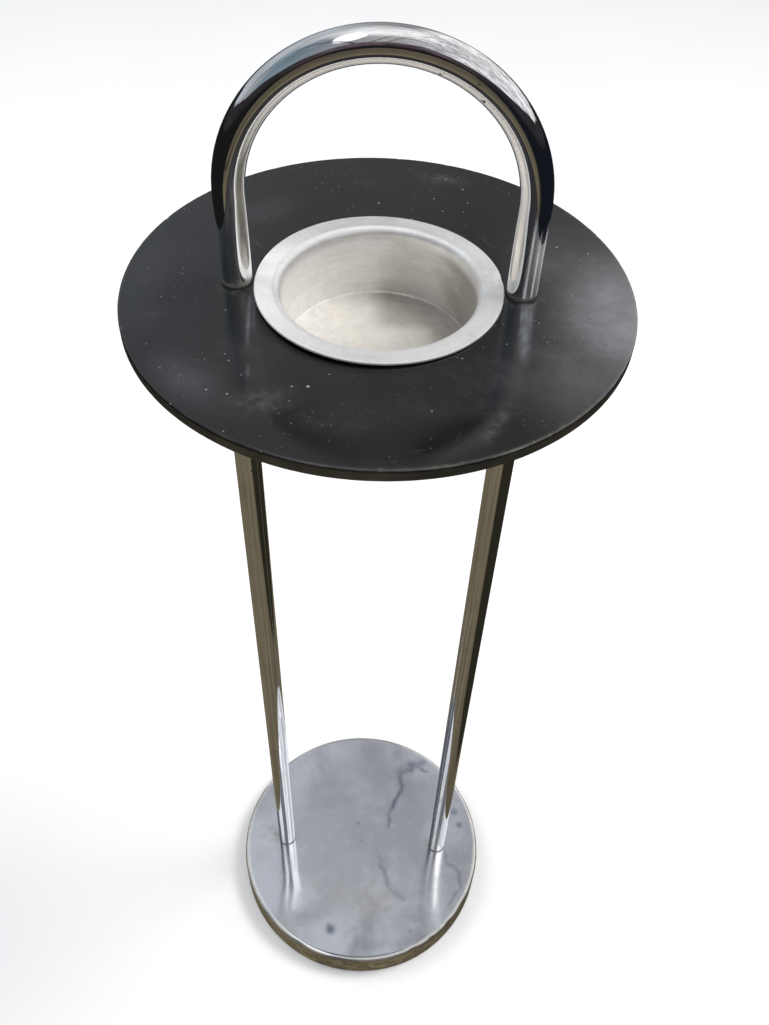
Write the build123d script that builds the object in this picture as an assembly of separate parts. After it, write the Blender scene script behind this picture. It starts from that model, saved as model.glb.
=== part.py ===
from build123d import *
import os
from math import cos, sin, radians

# Floor-standing smoker's ash stand: a weighted chromed foot, two tube legs,
# a round black table with a lift-out spun bowl, and a bent-tube carry hoop.
# Units are millimetres.  +Z is up and the legs stand on the X axis, the left
# one at -X.  The origin is the centre of the foot's underside.

sides = (-1, 1)             # left, right

# ---------------------------------------------------------------- shared sizes
tube_r = 8.0                # legs and hoop: 16 mm tube
tube_wall = 1.5
bore_r = tube_r - tube_wall
tube_rim_round = 0.5
plug_chamfer = 0.6

leg_x = 76.5                # leg axes at +-X
hoop_x = 72.7               # hoop feet at +-X, also the bend radius of the arch

base_h = 29.3
table_top_z = 710.0
table_t = 7.25
table_bottom_z = table_top_z - table_t
flange_t = 4.0              # round plates that carry the table on the legs
flange_bottom_z = table_bottom_z - flange_t

m8_r = 4.0
m6_r = 3.0
m6_hole_r = m6_r + 0.3
m6_head_r = 5.65
thread_gap = 0.03           # screws sit this far inside their threaded holes
cut_over = 1.0              # cutters run this far past the faces they cut


# ---------------------------------------------------------------- helpers
def rod(r, z0, z1, x=0.0, y=0.0):
    """Solid round bar along Z from z0 to z1."""
    return Pos(x, y, z0) * Cylinder(r, z1 - z0, align=(Align.CENTER, Align.CENTER, Align.MIN))


def frustum(r0, r1, z0, z1, x=0.0, y=0.0):
    """Truncated cone: radius r0 at z0 and r1 at z1."""
    return Pos(x, y, z0) * Cone(r0, r1, z1 - z0, align=(Align.CENTER, Align.CENTER, Align.MIN))


def ring(r_out, r_in, z0, z1, x=0.0):
    return rod(r_out, z0, z1, x) - rod(r_in, z0 - cut_over, z1 + cut_over, x)


def hexagon(across_flats, height):
    return extrude(RegularPolygon(across_flats / 2, 6, major_radius=False), height)


def spin(edges):
    """Revolve a closed r-z profile about the Z axis."""
    face = make_face([Plane.XZ * edge for edge in edges])
    return revolve(face, axis=Axis.Z, revolution_arc=360)


def circles(shape, r):
    """Circular edges of radius r."""
    return [e for e in shape.edges().filter_by(GeomType.CIRCLE) if abs(e.radius - r) < 1e-4]


def bottom_chamfer(shape, size):
    return chamfer(shape.edges().group_by(Axis.Z)[0], size)


def countersunk_screw(r, head_r, length, socket_af, socket_depth):
    """Countersunk screw standing on its head: flat head face at z = 0,
    shank up the +Z axis, hexagon socket in the head."""
    shank_r = r - thread_gap
    rim = 0.5
    tip_h = 0.8
    tip_inset = 0.6
    tip_z = length - tip_h
    screw = (rod(head_r, 0, rim) + frustum(head_r, shank_r, rim, rim + head_r - r)
             + rod(shank_r, 0, tip_z))
    screw += frustum(shank_r, shank_r - tip_inset, tip_z, length)
    return screw - hexagon(socket_af, socket_depth)


def m6_screw(length):
    return countersunk_screw(m6_r, m6_head_r, length, socket_af=4.0, socket_depth=2.2)


def countersink(hole_r, head_r, z0, z1, x, y, head_down=True):
    """Cutter from z0 to z1 for a countersunk screw; the head is at z0 when head_down."""
    rim = 0.55
    rim_over = 0.2
    sink_r = head_r + 0.15
    cone_h = sink_r - hole_r
    through = rod(hole_r, z0 - cut_over, z1 + cut_over, x, y)
    if head_down:
        return (through + rod(sink_r, z0 - rim_over, z0 + rim, x, y)
                + frustum(sink_r, hole_r, z0 + rim, z0 + rim + cone_h, x, y))
    return (through + rod(sink_r, z1 - rim, z1 + rim_over, x, y)
            + frustum(hole_r, sink_r, z1 - rim - cone_h, z1 - rim, x, y))


def plug(hole_r, z0, z1, x):
    """Threaded insert pressed into a tube end, outer edges broken."""
    body = ring(bore_r, hole_r, z0, z1, x)
    return chamfer(circles(body, bore_r), plug_chamfer)


# ---------------------------------------------------------------- foot
base_r = 118.3
base_edge_r = 3.7
cover_t = 1.0
cover_lip_z = 1.0           # lower rim of the cover above the floor
cover_in_r = base_r - cover_t
cover_in_edge_r = base_edge_r - cover_t
bolt_hole_r = 4.5

weight_gap = 0.6            # between the weight and the cover's skirt
weight_top_z = base_h - cover_t
weight_chamfer = 1.2
seat_r = 11.0               # recesses for the bolt heads
seat_z = 12.0

pad_r = 112.0
pad_t = 2.5
pad_chamfer = 0.6

bolt_washer_r = 8.0
bolt_washer_hole_r = 4.2
bolt_washer_t = 1.6
bolt_z = seat_z - bolt_washer_t     # bearing face of the bolt heads
bolt_head_af = 13.0
bolt_head_h = 5.3
bolt_len = 40.0
bolt_tip_h = 1.0


def make_cover():
    """Pressed cover: flat top, rounded shoulder, straight skirt."""
    shoulder_z = base_h - base_edge_r
    flat_r = base_r - base_edge_r
    cover = spin([
        Line((0, base_h), (flat_r, base_h)),
        JernArc((flat_r, base_h), (1, 0), base_edge_r, -90),
        Line((base_r, shoulder_z), (base_r, cover_lip_z)),
        Line((base_r, cover_lip_z), (cover_in_r, cover_lip_z)),
        Line((cover_in_r, cover_lip_z), (cover_in_r, shoulder_z)),
        JernArc((cover_in_r, shoulder_z), (0, 1), cover_in_edge_r, 90),
        Line((cover_in_r - cover_in_edge_r, weight_top_z), (0, weight_top_z)),
        Line((0, weight_top_z), (0, base_h)),
    ])
    for side in sides:
        cover -= rod(bolt_hole_r, weight_top_z - cut_over, base_h + cut_over, side * leg_x)
    return cover


def make_weight():
    """Cast weight that fills the cover."""
    weight = rod(cover_in_r - weight_gap, pad_t, weight_top_z)
    weight = fillet(weight.edges().group_by(Axis.Z)[-1], cover_in_edge_r + 0.4)
    weight = bottom_chamfer(weight, weight_chamfer)
    for side in sides:
        weight -= rod(bolt_hole_r, pad_t - cut_over, weight_top_z + cut_over, side * leg_x)
        weight -= rod(seat_r, pad_t - cut_over, seat_z, side * leg_x)
    return weight


def make_pad():
    """Soft pad under the weight; it meets the floor."""
    return bottom_chamfer(rod(pad_r, 0, pad_t), pad_chamfer)


def make_base_bolt(x):
    """Hexagon bolt, up through weight and cover into a leg."""
    bevel_r0, bevel_r1, bevel_h = 6.6, 8.2, 1.0     # cone that breaks the head's corners
    head_z = bolt_z - bolt_head_h
    bevel_z = head_z + bevel_h
    head = Pos(x, 0, head_z) * hexagon(bolt_head_af, bolt_head_h)
    head &= frustum(bevel_r0, bevel_r1, head_z, bevel_z, x) + rod(bevel_r1, bevel_z, bolt_z, x)
    shank_r = m8_r - thread_gap
    tip_z = bolt_z + bolt_len - bolt_tip_h
    shank = rod(shank_r, bolt_z - 0.5, tip_z, x)
    tip = frustum(shank_r, m8_r - 0.8, tip_z, bolt_z + bolt_len, x)
    return head + shank + tip


def make_bolt_washer(x):
    return ring(bolt_washer_r, bolt_washer_hole_r, bolt_z, seat_z, x)


# ---------------------------------------------------------------- legs
leg_plug_len = 25.0


def make_leg(x):
    leg = ring(tube_r, bore_r, base_h, flange_bottom_z, x)
    return fillet(circles(leg, tube_r), tube_rim_round)


# ---------------------------------------------------------------- leg flanges
flange_r = 21.0
flange_chamfer = 0.8
flange_screw_pitch_r = 15.0
flange_screw_count = 3
flange_screw_r = 2.0
flange_screw_hole_r = flange_screw_r + 0.2
flange_head_r = 4.0
flange_screw_len = 8.5
leg_screw_len = 20.0


def flange_screw_places(side):
    """(x, y) of the screws around one leg, the first towards +Y."""
    places = []
    for k in range(flange_screw_count):
        angle = radians(90 + side * k * 360 / flange_screw_count)
        places.append((side * leg_x + flange_screw_pitch_r * cos(angle),
                       flange_screw_pitch_r * sin(angle)))
    return places


def make_flange(side):
    x = side * leg_x
    flange = bottom_chamfer(rod(flange_r, flange_bottom_z, table_bottom_z, x), flange_chamfer)
    flange -= countersink(m6_hole_r, m6_head_r, flange_bottom_z, table_bottom_z, x, 0,
                          head_down=False)
    for screw_x, screw_y in flange_screw_places(side):
        flange -= countersink(flange_screw_hole_r, flange_head_r,
                              flange_bottom_z, table_bottom_z, screw_x, screw_y)
    return flange


def make_flange_screws():
    """Screws up through the flanges into the table."""
    return [Pos(x, y, flange_bottom_z)
            * countersunk_screw(flange_screw_r, flange_head_r, flange_screw_len,
                                socket_af=2.5, socket_depth=1.4)
            for side in sides for x, y in flange_screw_places(side)]


def make_leg_screw(x):
    """Screw down through a flange into the leg's top plug."""
    return Pos(x, 0, table_bottom_z) * Rot(180, 0, 0) * m6_screw(leg_screw_len)


# ---------------------------------------------------------------- table
table_r = 131.0
table_edge_r = 1.2
table_hole_r = 54.3
table_hole_chamfer = 0.6
pilot_over = 0.3            # pilot holes run this far past the flange screws


def make_table():
    flat_r = table_r - table_edge_r
    hole_top_r = table_hole_r + table_hole_chamfer
    hole_top_z = table_top_z - table_hole_chamfer
    table = spin([
        Line((table_hole_r, table_bottom_z), (flat_r, table_bottom_z)),
        JernArc((flat_r, table_bottom_z), (1, 0), table_edge_r, 90),
        Line((table_r, table_bottom_z + table_edge_r), (table_r, table_top_z - table_edge_r)),
        JernArc((table_r, table_top_z - table_edge_r), (0, 1), table_edge_r, 90),
        Line((flat_r, table_top_z), (hole_top_r, table_top_z)),
        Line((hole_top_r, table_top_z), (table_hole_r, hole_top_z)),
        Line((table_hole_r, hole_top_z), (table_hole_r, table_bottom_z)),
    ])
    pilot_top_z = flange_bottom_z + flange_screw_len + pilot_over
    for side in sides:
        table -= countersink(m6_hole_r, m6_head_r, table_bottom_z, table_top_z,
                             side * hoop_x, 0)
        for x, y in flange_screw_places(side):
            table -= rod(flange_screw_r, table_bottom_z - cut_over, pilot_top_z, x, y)
    return table


# ---------------------------------------------------------------- carry hoop
hoop_arch_z = 758.7         # centre of the semicircular arch
foot_washer_t = 0.6
foot_washer_r = 7.9
foot_z = table_top_z + foot_washer_t
hoop_plug_len = 22.0
hoop_screw_len = 25.0


def hoop_bar(r, z0):
    """Solid hoop of bar radius r: upper half torus on two uprights from z0."""
    box_size = 2 * (hoop_x + 2 * tube_r)
    torus = Pos(0, 0, hoop_arch_z) * Rot(90, 0, 0) * Torus(hoop_x, r)
    upper_half = Pos(0, 0, hoop_arch_z) * Box(
        box_size, box_size, box_size, align=(Align.CENTER, Align.CENTER, Align.MIN))
    return (torus & upper_half) + rod(r, z0, hoop_arch_z, -hoop_x) + rod(r, z0, hoop_arch_z, hoop_x)


def make_hoop():
    hoop = hoop_bar(tube_r, foot_z) - hoop_bar(bore_r, foot_z - cut_over)
    rims = [e for e in circles(hoop, tube_r) if abs(e.center().Z - foot_z) < 1e-4]
    return fillet(rims, tube_rim_round)


def make_foot_washer(x):
    return ring(foot_washer_r, m6_hole_r, table_top_z, foot_z, x)


def make_hoop_screw(x):
    """Screw up through the table into a hoop plug."""
    return Pos(x, 0, table_bottom_z) * m6_screw(hoop_screw_len)


# ---------------------------------------------------------------- ash bowl
bowl_t = 1.5
bowl_rim_r = 63.7
bowl_rim_round = 0.7
bowl_mouth_r = 50.7
bowl_lip_r = 4.0
bowl_floor_r = 49.8
bowl_floor_z = table_top_z - 38.6
bowl_corner_r = 1.6         # inside radius between wall and floor


def make_bowl():
    """Spun from one sheet: flat rim, rolled lip, nearly straight wall, flat floor."""
    rim_z = table_top_z + bowl_t
    rim_flat_r = bowl_rim_r - bowl_rim_round
    lip_z = rim_z - bowl_lip_r          # where the lip meets the wall
    lip_c = bowl_mouth_r + bowl_lip_r   # centre radius of the lip's bend
    corner_z = bowl_floor_z + bowl_corner_r
    corner_c = bowl_floor_r - bowl_corner_r
    under_z = bowl_floor_z - bowl_t
    diagonal = cos(radians(45))
    lip_in = bowl_lip_r * diagonal
    lip_out = (bowl_lip_r - bowl_t) * diagonal
    corner_out = (bowl_corner_r + bowl_t) * diagonal
    return spin([
        Line((0, bowl_floor_z), (corner_c, bowl_floor_z)),
        JernArc((corner_c, bowl_floor_z), (1, 0), bowl_corner_r, 90),
        Line((bowl_floor_r, corner_z), (bowl_mouth_r, lip_z)),
        ThreePointArc((bowl_mouth_r, lip_z), (lip_c - lip_in, lip_z + lip_in), (lip_c, rim_z)),
        Line((lip_c, rim_z), (rim_flat_r, rim_z)),
        JernArc((rim_flat_r, rim_z), (1, 0), bowl_rim_round, -90),
        Line((bowl_rim_r, rim_z - bowl_rim_round), (bowl_rim_r, table_top_z)),
        Line((bowl_rim_r, table_top_z), (lip_c, table_top_z)),
        ThreePointArc((lip_c, table_top_z), (lip_c - lip_out, lip_z + lip_out),
                      (bowl_mouth_r + bowl_t, lip_z)),
        Line((bowl_mouth_r + bowl_t, lip_z), (bowl_floor_r + bowl_t, corner_z)),
        ThreePointArc((bowl_floor_r + bowl_t, corner_z),
                      (corner_c + corner_out, corner_z - corner_out), (corner_c, under_z)),
        Line((corner_c, under_z), (0, under_z)),
        Line((0, under_z), (0, bowl_floor_z)),
    ])


# ---------------------------------------------------------------- output
def pair(make, x):
    return [make(side * x) for side in sides]


nodes = {
    "base_cover": [make_cover()],
    "base_weight": [make_weight()],
    "base_pad": [make_pad()],
    "base_bolts": pair(make_base_bolt, leg_x),
    "base_bolt_washers": pair(make_bolt_washer, leg_x),
    "leg_flange_screws": make_flange_screws(),
    "leg_top_screws": pair(make_leg_screw, leg_x),
    "table_top": [make_table()],
    "handle_hoop": [make_hoop()],
    "hoop_foot_washers": pair(make_foot_washer, hoop_x),
    "hoop_screws": pair(make_hoop_screw, hoop_x),
    "ash_bowl": [make_bowl()],
}
for name, side in zip(("left", "right"), sides):
    x = side * leg_x
    nodes[f"leg_{name}"] = [make_leg(x)]
    nodes[f"leg_bottom_plug_{name}"] = [plug(m8_r, base_h, base_h + leg_plug_len, x)]
    nodes[f"leg_top_plug_{name}"] = [
        plug(m6_r, flange_bottom_z - leg_plug_len, flange_bottom_z, x)]
    nodes[f"leg_flange_{name}"] = [make_flange(side)]
    nodes[f"hoop_plug_{name}"] = [plug(m6_r, foot_z, foot_z + hoop_plug_len, side * hoop_x)]

os.makedirs("parts", exist_ok=True)
for name, items in nodes.items():
    solids = [solid for item in items for solid in item.solids()]
    shape = solids[0] if len(solids) == 1 else Compound(children=solids)
    export_step(shape, f"parts/{name}.step")
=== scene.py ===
"""A floor-standing ashtray: round foot, two tube legs, black table, carry hoop and spun bowl.

Units are metres and +Z is up.  The stand's axis is Z and its foot rests on the floor.  The legs
and the hoop's ends lie left (-X) and right (+X).  The front, where the camera is, is -Y.
"""
import bpy
import math
import numpy as np
from mathutils import Matrix, Vector


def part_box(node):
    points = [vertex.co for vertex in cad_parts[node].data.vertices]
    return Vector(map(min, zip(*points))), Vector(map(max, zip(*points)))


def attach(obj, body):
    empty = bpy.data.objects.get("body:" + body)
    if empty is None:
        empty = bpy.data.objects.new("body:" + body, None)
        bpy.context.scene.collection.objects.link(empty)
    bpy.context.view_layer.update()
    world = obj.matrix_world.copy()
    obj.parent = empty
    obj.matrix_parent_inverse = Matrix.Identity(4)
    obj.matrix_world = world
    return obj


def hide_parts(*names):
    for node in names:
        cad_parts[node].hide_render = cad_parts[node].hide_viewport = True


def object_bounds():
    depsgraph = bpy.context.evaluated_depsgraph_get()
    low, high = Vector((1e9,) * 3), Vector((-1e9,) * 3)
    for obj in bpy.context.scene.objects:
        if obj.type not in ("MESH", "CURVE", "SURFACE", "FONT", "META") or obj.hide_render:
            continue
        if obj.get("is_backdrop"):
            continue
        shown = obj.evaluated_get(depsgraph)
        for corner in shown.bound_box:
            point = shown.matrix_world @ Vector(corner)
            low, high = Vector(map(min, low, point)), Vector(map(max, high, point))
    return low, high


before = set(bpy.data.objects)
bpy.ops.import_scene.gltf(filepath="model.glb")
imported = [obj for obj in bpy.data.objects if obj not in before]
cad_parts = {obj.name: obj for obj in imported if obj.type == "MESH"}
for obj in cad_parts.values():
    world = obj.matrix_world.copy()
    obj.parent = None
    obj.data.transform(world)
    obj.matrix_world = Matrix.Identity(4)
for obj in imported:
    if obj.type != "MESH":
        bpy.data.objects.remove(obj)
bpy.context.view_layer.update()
MM = 0.001

# ---------------------------------------------------------------- sizes read from the CAD pieces
low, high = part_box("table_top")
TABLE_TOP, TABLE_UNDER, TABLE_R = high.z, low.z, high.y
low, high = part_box("base_cover")
FOOT_TOP, FOOT_LIP, FOOT_R = high.z, low.z, high.y
low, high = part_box("leg_right")
LEG_X, TUBE_R = (low.x + high.x) / 2, (high.x - low.x) / 2
LEG_BOTTOM, LEG_TOP = low.z, high.z
low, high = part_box("handle_hoop")
HOOP_R = high.x - TUBE_R                    # centreline radius, and x of each upright
HOOP_BOTTOM = low.z
ARCH_Z = high.z - TUBE_R - HOOP_R           # height where the uprights meet the arch
low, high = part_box("ash_bowl")
RIM_R, RIM_Z, BOWL_UNDER = high.y, high.z, low.z
TUBE_WALL = 1.5 * MM


# ---------------------------------------------------------------- shaping functions
def noise(points, scale, seed, octaves):
    """Smooth repeatable noise, about -1 to 1: a sum of random plane waves at points (n, 3)."""
    rng = np.random.default_rng(seed)
    total, strength, strength_sum = np.zeros(len(points)), 1.0, 0.0
    for _ in range(octaves):
        for _ in range(7):
            wave = rng.normal(size=3)
            wave = wave / np.linalg.norm(wave) * (2 * math.pi / scale) * rng.uniform(0.7, 1.3)
            total += strength * np.sin(points @ wave + rng.uniform(0, 2 * math.pi)) / 2.6
        strength_sum += strength
        strength *= 0.5
        scale *= 0.5
    return total / strength_sum


def ease(values, start, end):
    """Smooth step from 0 at start to 1 at end; start may be the larger."""
    t = np.clip((values - start) / (end - start), 0, 1)
    return t * t * (3 - 2 * t)


def bell(distance, width):
    return np.exp(-(distance / width) ** 2)


def plan_distance(points, x, y):
    return np.hypot(points[:, 0] - x, points[:, 1] - y)


def bearing(points, x=0.0):
    """Angle about the upright axis at (x, 0), in degrees from +X towards +Y."""
    return np.degrees(np.arctan2(points[:, 1], points[:, 0] - x))


def oval(points, x, y, half_u, half_v, turn):
    """Bell-shaped oval patch; sizes in mm, turn in degrees."""
    cos, sin = math.cos(math.radians(turn)), math.sin(math.radians(turn))
    dx, dy = points[:, 0] - x * MM, points[:, 1] - y * MM
    u = (dx * cos + dy * sin) / (half_u * MM)
    v = (-dx * sin + dy * cos) / (half_v * MM)
    return np.exp(-(u ** 2 + v ** 2))


# ---------------------------------------------------------------- mesh builders
def new_mesh(name, verts, faces, smooth=True):
    """faces is a list of integer arrays, each (n, 3) or (n, 4)."""
    mesh = bpy.data.meshes.new(name)
    verts = np.asarray(verts, np.float32)
    mesh.vertices.add(len(verts))
    mesh.vertices.foreach_set("co", verts.ravel())
    corners = np.concatenate([np.asarray(f, np.int32).ravel() for f in faces])
    sizes = np.concatenate([np.full(len(f), f.shape[1], np.int32) for f in faces])
    starts = np.concatenate([[0], np.cumsum(sizes)[:-1]]).astype(np.int32)
    mesh.loops.add(len(corners))
    mesh.loops.foreach_set("vertex_index", corners)
    mesh.polygons.add(len(sizes))
    mesh.polygons.foreach_set("loop_start", starts)
    mesh.polygons.foreach_set("loop_total", sizes)
    mesh.polygons.foreach_set("use_smooth", np.full(len(sizes), smooth, bool))
    mesh.update(calc_edges=True)
    mesh.validate()
    return mesh


def link(name, data):
    ob = bpy.data.objects.new(name, data)
    bpy.context.scene.collection.objects.link(ob)
    return ob


def make_piece(name, verts, faces, material, body, slot, replaces, **masks):
    """One visible piece; each mask becomes a point attribute, clipped to 0..1."""
    mesh = new_mesh(name, verts, faces)
    mesh.materials.append(material)
    for mask_name, mask in masks.items():
        attribute = mesh.attributes.new(mask_name, "FLOAT", "POINT")
        attribute.data.foreach_set("value", np.clip(mask, 0, 1).astype(np.float32))
    ob = link(name, mesh)
    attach(ob, body)
    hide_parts(replaces)


def line(start, end, steps):
    start, end = np.array(start), np.array(end)
    return start + (end - start) * np.linspace(0, 1, steps + 1)[:, None]


def arc(centre, radius, start, end, steps):
    """Arc from start to end, in degrees."""
    t = np.radians(np.linspace(start, end, steps + 1))
    return np.stack([centre[0] + radius * np.cos(t), centre[1] + radius * np.sin(t)], 1)


def outline(*parts):
    """Joins (r, z) point runs, dropping a first point that repeats the last one."""
    joined = []
    for points in parts:
        if joined and np.hypot(*(joined[-1] - points[0])) < 1e-7:
            points = points[1:]
        joined += list(points)
    return np.array(joined)


def lathe(profile, sides):
    """Closed (r, z) profile turned about Z; points with r = 0 become poles."""
    if np.hypot(*(profile[0] - profile[-1])) < 1e-7:
        profile = profile[:-1]
    angle = np.linspace(0, 2 * math.pi, sides, endpoint=False)
    cos, sin = np.cos(angle), np.sin(angle)
    verts, rings, count = [], [], 0
    for r, z in profile:
        if r < 1e-7:
            ring = np.array([[0, 0, z]])
        else:
            ring = np.column_stack([r * cos, r * sin, np.full(sides, z)])
        verts.append(ring)
        rings.append(np.arange(count, count + len(ring)))
        count += len(ring)
    tris, quads = [], []
    for a, b in zip(rings, rings[1:] + rings[:1]):
        if len(a) == 1 and len(b) == 1:
            continue
        if len(a) == 1:
            tris.append(np.column_stack([np.full(sides, a[0]), np.roll(b, -1), b]))
        elif len(b) == 1:
            tris.append(np.column_stack([a, np.roll(a, -1), np.full(sides, b[0])]))
        else:
            quads.append(np.column_stack([a, np.roll(a, -1), np.roll(b, -1), b]))
    faces = [np.vstack(quads)] + ([np.vstack(tris)] if tris else [])
    verts = np.vstack(verts)
    return verts, outward(verts, faces)


def outward(verts, faces):
    """Flips every face if the closed mesh encloses negative volume."""
    volume = 0.0
    for f in faces:
        first = verts[f[:, 0]]
        for k in range(1, f.shape[1] - 1):
            cross = np.cross(verts[f[:, k]], verts[f[:, k + 1]])
            volume += np.einsum("ij,ij->i", first, cross).sum()
    return [f[:, ::-1] for f in faces] if volume < 0 else faces


def true_round(_, angle):
    return np.ones_like(angle)


def tube(centre, tangent, sides, edge, section=true_round):
    """Hollow tube with rounded outer ends, along a centreline (m, 3) in the XZ plane.

    section(i, angle) scales the radius of ring i."""
    normal = np.array((0.0, 1.0, 0.0))
    across = np.cross(tangent, normal)
    across /= np.linalg.norm(across, axis=1, keepdims=True)
    angle = np.linspace(0, 2 * math.pi, sides, endpoint=False)

    def ring(i, radius, along=0.0):
        spokes = np.cos(angle)[:, None] * across[i] + np.sin(angle)[:, None] * normal
        return centre[i] + along * tangent[i] + (radius * section(i, angle))[:, None] * spokes

    last = len(centre) - 1
    rounding = [(TUBE_R - edge * (1 - math.sin(a)), edge * (1 - math.cos(a)))
                for a in np.linspace(0, math.pi / 2, 5)]
    rings = [ring(0, radius, along) for radius, along in rounding]
    rings += [ring(i, TUBE_R) for i in range(1, last)]
    rings += [ring(last, radius, -along) for radius, along in rounding[::-1]]
    rings += [ring(i, TUBE_R - TUBE_WALL) for i in range(last, -1, -1)]
    verts = np.vstack(rings)
    here = np.arange(len(rings))[:, None] * sides
    after = np.roll(here, -1, axis=0)
    i = np.arange(sides)[None, :]
    k = (i + 1) % sides
    faces = np.stack([here + i, here + k, after + k, after + i], -1).reshape(-1, 4)
    return verts, outward(verts, [faces])


# ---------------------------------------------------------------- shader graphs
class Value:
    """A node output.  Arithmetic on it adds Math nodes to its graph."""

    def __init__(self, graph, socket):
        self.graph = graph
        self.socket = socket

    def __add__(self, other):
        return self.graph.math("ADD", self, other)

    def __sub__(self, other):
        return self.graph.math("SUBTRACT", self, other)

    def __rsub__(self, other):
        return self.graph.math("SUBTRACT", other, self)

    def __mul__(self, other):
        return self.graph.math("MULTIPLY", self, other)

    def __truediv__(self, other):
        return self.graph.math("DIVIDE", self, other)

    def __pow__(self, other):
        return self.graph.math("POWER", self, other)

    def __abs__(self):
        return self.graph.math("ABSOLUTE", self)

    def ease(self, start, end, to=(0.0, 1.0)):
        """Smooth step from to[0] at start to to[1] at end."""
        return self.graph.value(
            "MapRange", settings={"interpolation_type": "SMOOTHSTEP"}, Value=self,
            From_Min=start, From_Max=end, To_Min=to[0], To_Max=to[1])

    def coats(self, *coats):
        """Lays (amount, colour) coats over this colour in turn."""
        color = self
        for amount, coat in coats:
            color = self.graph.mix(amount, color, coat)
        return color

    def toward(self, target, amount):
        return self.graph.mix_value(amount, self, target)


def larger(a, b):
    return a.graph.math("MAXIMUM", a, b)


class Graph:
    """Node tree of a material or world.  at_kind and at_output give its usual coordinates."""

    def __init__(self, owner, output="OutputMaterial", at_kind="TexCoord", at_output="Object"):
        owner.use_nodes = True
        self.owner = owner
        self.tree = owner.node_tree
        self.tree.nodes.clear()
        self.output = self.node(output)
        self.at = self.value(at_kind, output=at_output)

    def node(self, kind, *inputs, settings=None, **named):
        node = self.tree.nodes.new("ShaderNode" + kind)
        for key, setting in (settings or {}).items():
            setattr(node, key, setting)
        for i, value in enumerate(inputs):
            self.feed(node.inputs[i], value)
        for name, value in named.items():
            self.feed(node.inputs[name.replace("_", " ")], value)
        return node

    def feed(self, socket, value):
        if isinstance(value, Value):
            self.tree.links.new(value.socket, socket)
        elif socket.type == "RGBA":
            socket.default_value = (*value, 1)
        else:
            socket.default_value = value

    def value(self, kind, *inputs, output=0, settings=None, **named):
        node = self.node(kind, *inputs, settings=settings, **named)
        return Value(self, node.outputs[output])

    def finish(self, shader):
        self.feed(self.output.inputs["Surface"], shader)
        return self.owner

    def principled(self, **inputs):
        return self.finish(self.value("BsdfPrincipled", **inputs))

    def math(self, operation, a, b=0.0, c=0.0):
        return self.value("Math", a, b, c, settings={"operation": operation})

    def xyz(self, vector=None):
        node = self.node("SeparateXYZ", Vector=vector or self.at)
        return [Value(self, socket) for socket in node.outputs]

    def combine(self, x, y, z):
        return self.value("CombineXYZ", X=x, Y=y, Z=z)

    def radius(self, x, y):
        return self.math("SQRT", x ** 2.0 + y ** 2.0)

    def shift(self, vector, offset):
        return self.value("VectorMath", vector, offset, settings={"operation": "ADD"})

    def scale(self, vector, factors):
        return self.value("VectorMath", vector, factors, settings={"operation": "MULTIPLY"})

    def turn(self, angle):
        """The usual coordinates turned about Z."""
        return self.value("VectorRotate", settings={"rotation_type": "Z_AXIS"},
                          Vector=self.at, Angle=angle)

    def noise(self, scale, detail, rough=0.5, warp=0.0, at=None, output=0):
        return self.value("TexNoise", output=output, Vector=at or self.at, Scale=scale,
                          Detail=detail, Roughness=rough, Distortion=warp)

    def cells(self, scale, at=None):
        """Random cells: distance to the cell's centre, and the cell's random colour."""
        node = self.node("TexVoronoi", Vector=at or self.at, Scale=scale)
        return Value(self, node.outputs["Distance"]), Value(self, node.outputs["Color"])

    def ramp(self, position, stops):
        node = self.node("ValToRGB", Fac=position)
        elements = node.color_ramp.elements
        while len(elements) > 1:
            elements.remove(elements[-1])
        for i, (place, color) in enumerate(stops):
            element = elements.new(place) if i else elements[0]
            element.position = place
            element.color = (*color, 1)
        return Value(self, node.outputs[0])

    def mix(self, amount, a, b, blend="MIX"):
        """Colour mix: a at amount 0, b at amount 1."""
        node = self.node("Mix", amount, settings={"data_type": "RGBA", "blend_type": blend})
        self.feed(node.inputs[6], a)
        self.feed(node.inputs[7], b)
        return Value(self, node.outputs[2])

    def mix_value(self, amount, a, b):
        node = self.node("Mix", amount, settings={"data_type": "FLOAT"})
        self.feed(node.inputs[2], a)
        self.feed(node.inputs[3], b)
        return Value(self, node.outputs[0])

    def mask(self, name):
        return self.value("Attribute", output="Fac", settings={"attribute_name": name})

    def bump(self, height, distance, strength):
        return self.value("Bump", Height=height, Distance=distance, Strength=strength)


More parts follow.
